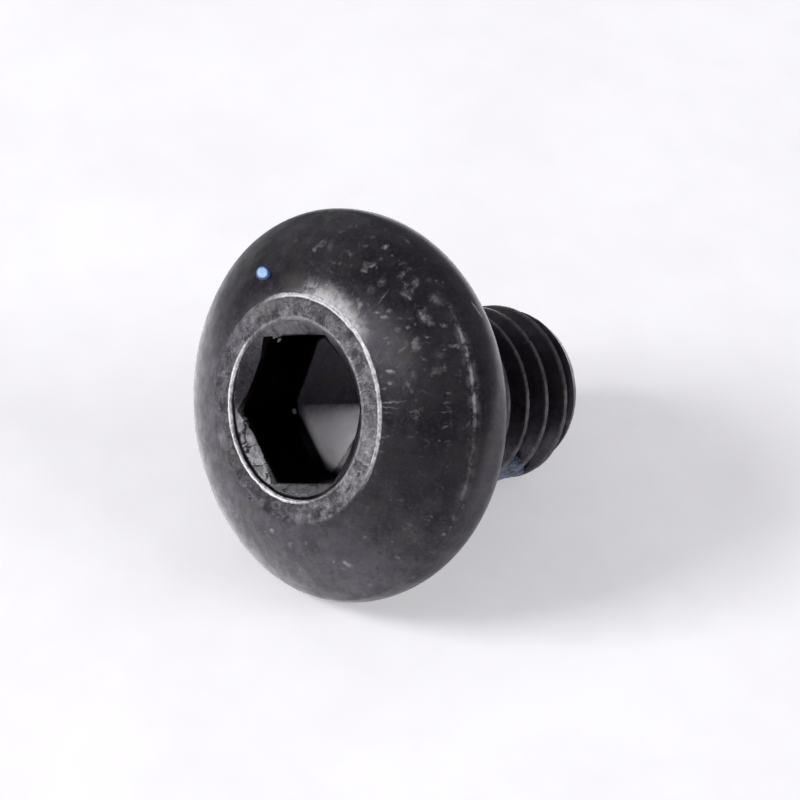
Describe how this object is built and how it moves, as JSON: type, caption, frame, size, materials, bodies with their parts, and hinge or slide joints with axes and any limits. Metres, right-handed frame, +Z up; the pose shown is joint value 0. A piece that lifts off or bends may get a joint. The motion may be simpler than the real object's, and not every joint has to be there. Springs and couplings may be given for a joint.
{
  "type": "hex socket button head screw",
  "caption": "Short black machine screw with a low button head, a hexagon socket and a film of blue thread-locking compound; it clamps a thin part down.",
  "frame": {"origin": "middle of the bounding box's base, on the floor that the screw lies on", "axes": "+Z up from the floor; the head faces -Y and is tilted 25.5 degrees up; the tip points to +Y and down; X = 0 holds the screw's own axis"},
  "size_m": [0.0108, 0.0106, 0.01],
  "materials": {
    "blackened_steel": "black oxide, satin, scuffed",
    "threadlocker": "dried blue compound"
  },
  "bodies": {
    "root": {"screw": "blackened_steel", "threadlocker_patch": "threadlocker"}
  },
  "joints": []
}
